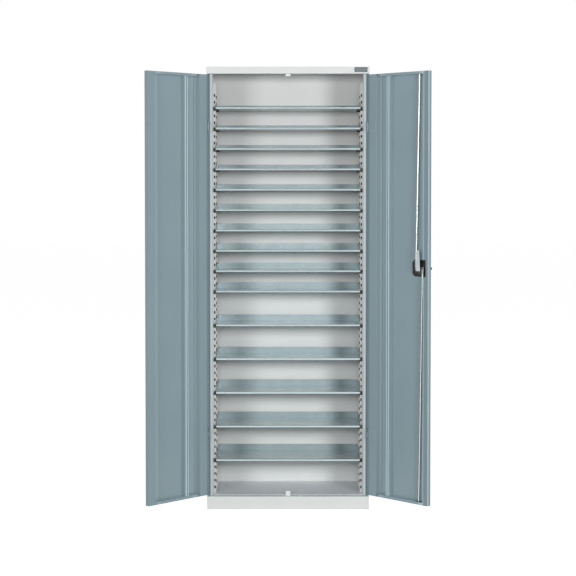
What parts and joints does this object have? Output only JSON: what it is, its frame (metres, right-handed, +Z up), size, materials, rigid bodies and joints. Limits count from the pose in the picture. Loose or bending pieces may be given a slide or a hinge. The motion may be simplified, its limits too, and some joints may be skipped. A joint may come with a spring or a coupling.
{
  "type": "storage cabinet",
  "caption": "Tall steel storage cabinet with two hinged doors standing open, tray shelves on slotted uprights and a turning lock that drives rods to the rails above and below.",
  "frame": {"origin": "centre of the carcass footprint on the floor, which is also the centre of the floor bolt pattern", "axes": "+Z up along the cabinet's height, front and doors towards -Y, +X to the right as seen from the front"},
  "size_m": [1.2243, 0.5639, 1.95],
  "materials": {
    "body_paint": "light grey powder coat, fine texture",
    "door_paint": "blue grey powder coat, fine texture",
    "galvanised_sheet": "galvanised sheet, soft spangle",
    "bright_zinc": "bright zinc plate",
    "black_plastic": "moulded black nylon",
    "white_plastic": "moulded white plastic"
  },
  "bodies": {
    "carcass": {"back_panel": "body_paint", "floor_panel": "body_paint", "left_front_shelf_clips": "black_plastic", "left_front_upright": "body_paint", "left_hinge_frame_leaves": "body_paint", "left_hinge_pins": "bright_zinc", "left_rear_shelf_clips": "black_plastic", "left_rear_upright": "body_paint", "left_side_panel": "body_paint", "lower_door_stop": "white_plastic", "plinth": "body_paint", "right_front_shelf_clips": "black_plastic", "right_front_upright": "body_paint", "right_hinge_frame_leaves": "body_paint", "right_hinge_pins": "bright_zinc", "right_rear_shelf_clips": "black_plastic", "right_rear_upright": "body_paint", "right_side_panel": "body_paint", "roof_panel": "body_paint", "shelf_01": "galvanised_sheet", "shelf_02": "galvanised_sheet", "shelf_03": "galvanised_sheet", "shelf_04": "galvanised_sheet", "shelf_05": "galvanised_sheet", "shelf_06": "galvanised_sheet", "shelf_07": "galvanised_sheet", "shelf_08": "galvanised_sheet", "shelf_09": "galvanised_sheet", "shelf_10": "galvanised_sheet", "shelf_11": "galvanised_sheet", "shelf_12": "galvanised_sheet", "shelf_13": "galvanised_sheet", "shelf_14": "galvanised_sheet", "shelf_15": "galvanised_sheet", "upper_door_stop": "white_plastic"},
    "left_door": {"left_door_panel": "door_paint", "left_door_stiffener": "door_paint", "left_hinge_door_leaves": "door_paint"},
    "right_door": {"right_door_panel": "door_paint", "right_door_stiffener": "door_paint", "right_hinge_door_leaves": "door_paint", "lock_housing": "black_plastic", "lock_escutcheon": "black_plastic", "upper_rod_guide": "black_plastic", "lower_rod_guide": "black_plastic"},
    "lock": {"lock_handle": "black_plastic", "lock_spindle": "bright_zinc", "lock_cam": "bright_zinc", "lock_tongue": "bright_zinc", "lock_screw": "bright_zinc"},
    "key": {"key_barrel": "bright_zinc"},
    "upper_rod": {"upper_lock_rod": "bright_zinc"},
    "lower_rod": {"lower_lock_rod": "bright_zinc"}
  },
  "joints": [
    {"name": "left_door_hinge", "type": "hinge", "parent": "carcass", "child": "left_door", "pos_m": [-0.35, -0.146, 0.989], "axis": [0, 0, -1], "range_deg": [-134, 0]},
    {"name": "right_door_hinge", "type": "hinge", "parent": "carcass", "child": "right_door", "pos_m": [0.35, -0.146, 0.989], "axis": [0, 0, 1], "range_deg": [-134, 0]},
    {"name": "lock_turn", "type": "hinge", "parent": "right_door", "child": "lock", "pos_m": [0.56217, -0.34843, 1.076], "axis": [0.7193, 0.6947, 0], "range_deg": [0, 90]},
    {"name": "upper_rod_pivot", "type": "hinge", "parent": "lock", "child": "upper_rod", "pos_m": [0.54897, -0.33476, 1.076], "axis": [0.7193, 0.6947, 0], "range_deg": [-92, 0]},
    {"name": "lower_rod_pivot", "type": "hinge", "parent": "lock", "child": "lower_rod", "pos_m": [0.57537, -0.3621, 1.076], "axis": [0.7193, 0.6947, 0], "range_deg": [-92, 0]},
    {"name": "key_turn", "type": "hinge", "parent": "lock", "child": "key", "pos_m": [0.58231, -0.32898, 1.076], "axis": [0.7193, 0.6947, 0], "range_deg": [0, 90]}
  ],
  "couplings": [
    {"joint": "upper_rod_pivot", "follows": "lock_turn", "ratio": -1.0144},
    {"joint": "lower_rod_pivot", "follows": "lock_turn", "ratio": -1.0119}
  ]
}
